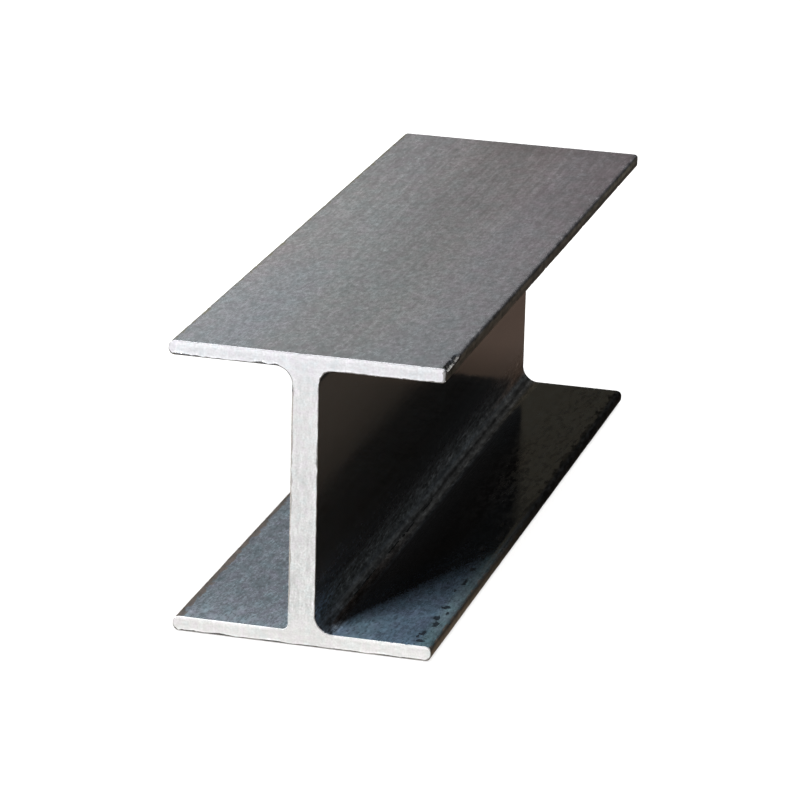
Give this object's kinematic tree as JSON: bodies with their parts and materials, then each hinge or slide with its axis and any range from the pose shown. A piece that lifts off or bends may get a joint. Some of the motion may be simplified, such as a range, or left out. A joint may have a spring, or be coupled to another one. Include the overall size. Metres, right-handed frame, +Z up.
{
  "type": "steel h-beam",
  "caption": "Short length of hot-rolled steel H-beam with a thick web, thinner flanges, rounded root fillets and toes, and bright square-sawn ends.",
  "frame": {"origin": "centre of the outer face of the bottom flange, at floor level, halfway between the two sawn ends", "axes": "+Y along the beam, +X across the flanges, +Z up from the bottom flange to the top flange, parallel to the web"},
  "size_m": [0.104, 0.32, 0.112],
  "materials": {
    "hot_rolled_steel": "dark blue-grey mill scale with fine streaks along the length, brown tints in the channels, and bright bare metal on the sawn ends"
  },
  "bodies": {
    "root": {"h_beam": "hot_rolled_steel"}
  },
  "joints": []
}
